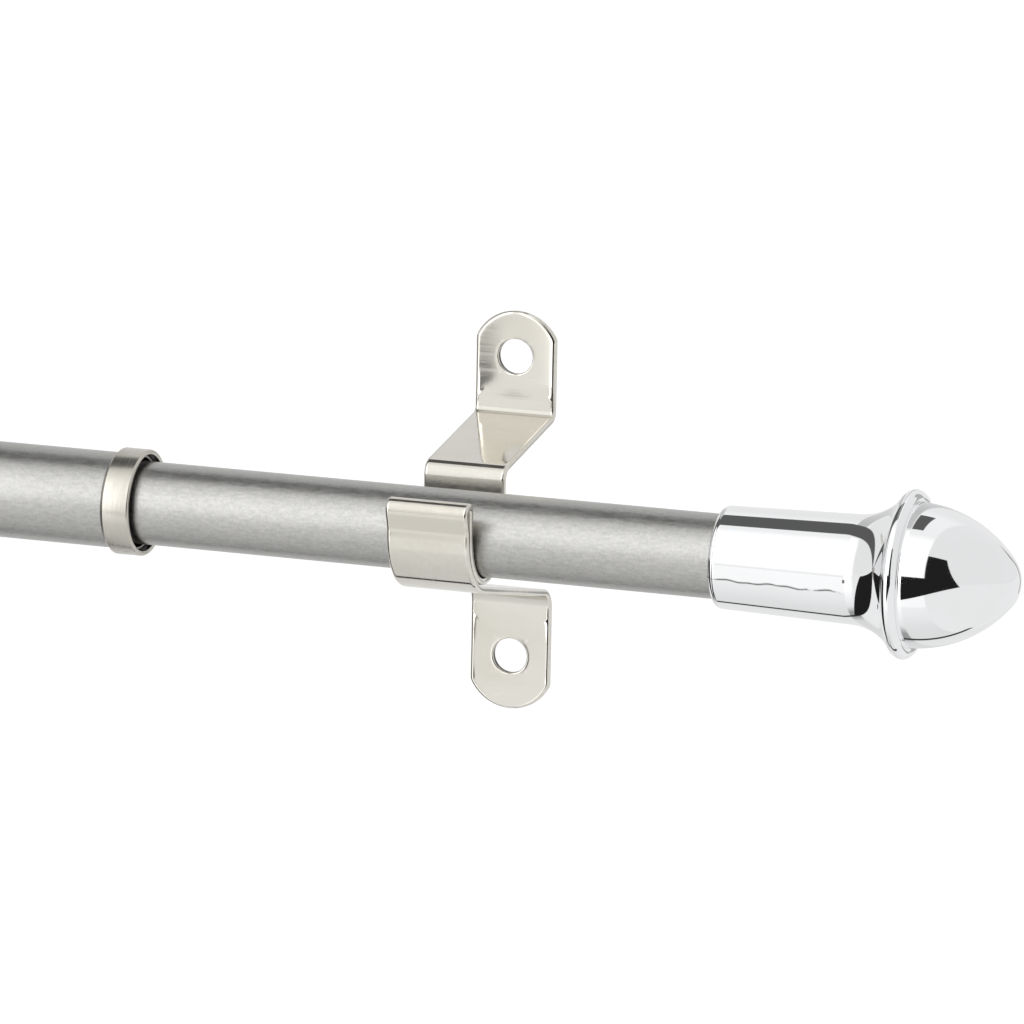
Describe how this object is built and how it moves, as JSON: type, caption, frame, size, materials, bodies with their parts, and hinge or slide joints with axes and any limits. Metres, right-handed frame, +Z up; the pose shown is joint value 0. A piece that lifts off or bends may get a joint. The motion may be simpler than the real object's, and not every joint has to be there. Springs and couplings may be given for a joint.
{
  "type": "extending curtain rod",
  "caption": "Slim telescoping curtain rod with round push-on finials, a mouth collar and open hook wall brackets bent from strip.",
  "frame": {"origin": "on the wall, midway between the two screw holes of the right bracket, at the middle of its width", "axes": "+X along the rod to the right finial, +Y into the wall, +Z up"},
  "size_m": [0.7972, 0.0386, 0.0558],
  "materials": {
    "satin_tube": "satin silver metallic paint with a fine grain",
    "bright_nickel": "bright nickel plate on steel, warm grey, slightly hazy",
    "mirror_chrome": "mirror chrome plate",
    "bush_plastic": "moulded plastic, matte off-white"
  },
  "bodies": {
    "right_bracket": {"right_bracket": "bright_nickel"},
    "inner_rod": {"inner_tube": "satin_tube", "glide_bush": "bush_plastic"},
    "outer_rod": {"outer_tube": "satin_tube", "mouth_collar": "bright_nickel"},
    "right_finial": {"right_finial": "mirror_chrome"},
    "left_finial": {"left_finial": "mirror_chrome"},
    "left_bracket": {"left_bracket": "bright_nickel"}
  },
  "joints": [
    {"name": "rod_lift", "type": "slide", "parent": "right_bracket", "child": "inner_rod", "axis": [0, 0, 1], "range_m": [0, 0.014]},
    {"name": "rod_extension", "type": "slide", "parent": "inner_rod", "child": "outer_rod", "axis": [-1, 0, 0], "range_m": [-0.035, 0.42]},
    {"name": "left_bracket_spacing", "type": "slide", "parent": "right_bracket", "child": "left_bracket", "axis": [-1, 0, 0], "range_m": [-0.035, 0.42]},
    {"name": "right_finial_pull", "type": "slide", "parent": "inner_rod", "child": "right_finial", "axis": [1, 0, 0], "range_m": [0, 0.03]},
    {"name": "left_finial_pull", "type": "slide", "parent": "outer_rod", "child": "left_finial", "axis": [-1, 0, 0], "range_m": [0, 0.03]}
  ],
  "couplings": [
    {"joint": "left_bracket_spacing", "follows": "rod_extension", "ratio": 1}
  ]
}
